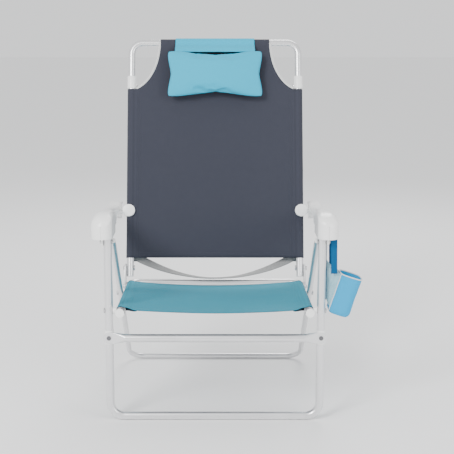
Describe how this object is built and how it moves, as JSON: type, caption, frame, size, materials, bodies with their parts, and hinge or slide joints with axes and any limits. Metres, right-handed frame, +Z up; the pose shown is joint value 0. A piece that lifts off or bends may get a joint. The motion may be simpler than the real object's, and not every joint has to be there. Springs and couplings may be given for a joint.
{
  "type": "folding beach chair",
  "caption": "High-back folding beach chair: aluminium tube frame, fabric sling seat and back, reclining back with pillow, moulded armrests and a side cup pouch.",
  "frame": {"origin": "on the floor, on the symmetry plane, midway between the front leg tubes' floor points", "axes": "+X to the sitter's left as seen from the front right, +Y from the front to the back, +Z up"},
  "size_m": [0.7224, 0.6368, 1.0194],
  "materials": {
    "frame_tube": "satin anodised",
    "rivet_metal": "bright",
    "hinge_steel": "bright",
    "screw_steel": "dark",
    "bracket_metal": "light grey powder coat",
    "white_plastic": "moulded gloss",
    "seat_cloth": "woven polyester",
    "back_cloth": "woven polyester",
    "pillow_cloth": "woven polyester over foam",
    "binding_cloth": "woven tape",
    "webbing": "woven webbing",
    "pouch_cloth": "coated polyester",
    "pouch_band": "coated polyester"
  },
  "bodies": {
    "seat": {"seat_frame": "frame_tube", "rail_caps": "white_plastic", "seat_sling": "seat_cloth", "hinge_brackets": "bracket_metal", "bracket_rivets": "rivet_metal", "leg_spacers": "white_plastic", "leg_rivets": "rivet_metal", "rear_leg_rivets": "rivet_metal"},
    "front_leg": {"front_leg": "frame_tube", "front_crossbar": "frame_tube", "crossbar_sleeves": "white_plastic", "crossbar_screws": "screw_steel", "leg_top_plugs": "white_plastic", "arm_rivets": "rivet_metal"},
    "rear_leg": {"rear_leg": "frame_tube", "rear_leg_tips": "white_plastic"},
    "armrest_left": {"armrest_left": "white_plastic"},
    "armrest_right": {"armrest_right": "white_plastic", "pouch_hanger": "pouch_band", "pouch_body": "pouch_cloth", "pouch_screws": "white_plastic"},
    "back_rivets": {"back_rivets": "hinge_steel"},
    "back": {"back_frame": "frame_tube", "back_tube_plugs": "white_plastic", "back_sling": "back_cloth", "corner_bindings": "binding_cloth", "recline_hubs": "white_plastic", "recline_pins": "white_plastic", "pillow": "pillow_cloth", "pillow_flap": "pillow_cloth", "towel_clamps": "white_plastic", "carry_strap": "webbing", "strap_rivets": "rivet_metal"},
    "towel_bar": {"towel_bar": "frame_tube"}
  },
  "joints": [
    {"name": "fold", "type": "hinge", "parent": "seat", "child": "front_leg", "pos_m": [0, 0, 0.308], "axis": [1, 0, 0], "range_deg": [0, 76]},
    {"name": "rear_leg_fold", "type": "hinge", "parent": "seat", "child": "rear_leg", "pos_m": [0, 0.24, 0.29584], "axis": [1, 0, 0], "range_deg": [0, 28.88]},
    {"name": "arm_left_fold", "type": "hinge", "parent": "front_leg", "child": "armrest_left", "pos_m": [0, 0, 0.497], "axis": [-1, 0, 0], "range_deg": [0, 65.36]},
    {"name": "arm_right_fold", "type": "hinge", "parent": "front_leg", "child": "armrest_right", "pos_m": [0, 0, 0.497], "axis": [-1, 0, 0], "range_deg": [0, 65.36]},
    {"name": "back_fold", "type": "hinge", "parent": "seat", "child": "back_rivets", "pos_m": [0, 0.383, 0.337], "axis": [1, 0, 0], "range_deg": [0, 98.8]},
    {"name": "recline", "type": "hinge", "parent": "back_rivets", "child": "back", "pos_m": [0, 0.383, 0.337], "axis": [-1, 0, 0], "range_deg": [0, 25]},
    {"name": "towel_bar_swing", "type": "hinge", "parent": "back", "child": "towel_bar", "pos_m": [0, 0.57036, 0.87798], "axis": [1, 0, 0], "range_deg": [-10, 100]}
  ],
  "couplings": [
    {"joint": "rear_leg_fold", "follows": "fold", "ratio": 0.38},
    {"joint": "arm_left_fold", "follows": "fold", "ratio": 0.86},
    {"joint": "arm_right_fold", "follows": "fold", "ratio": 0.86},
    {"joint": "back_fold", "follows": "fold", "ratio": 1.3}
  ]
}
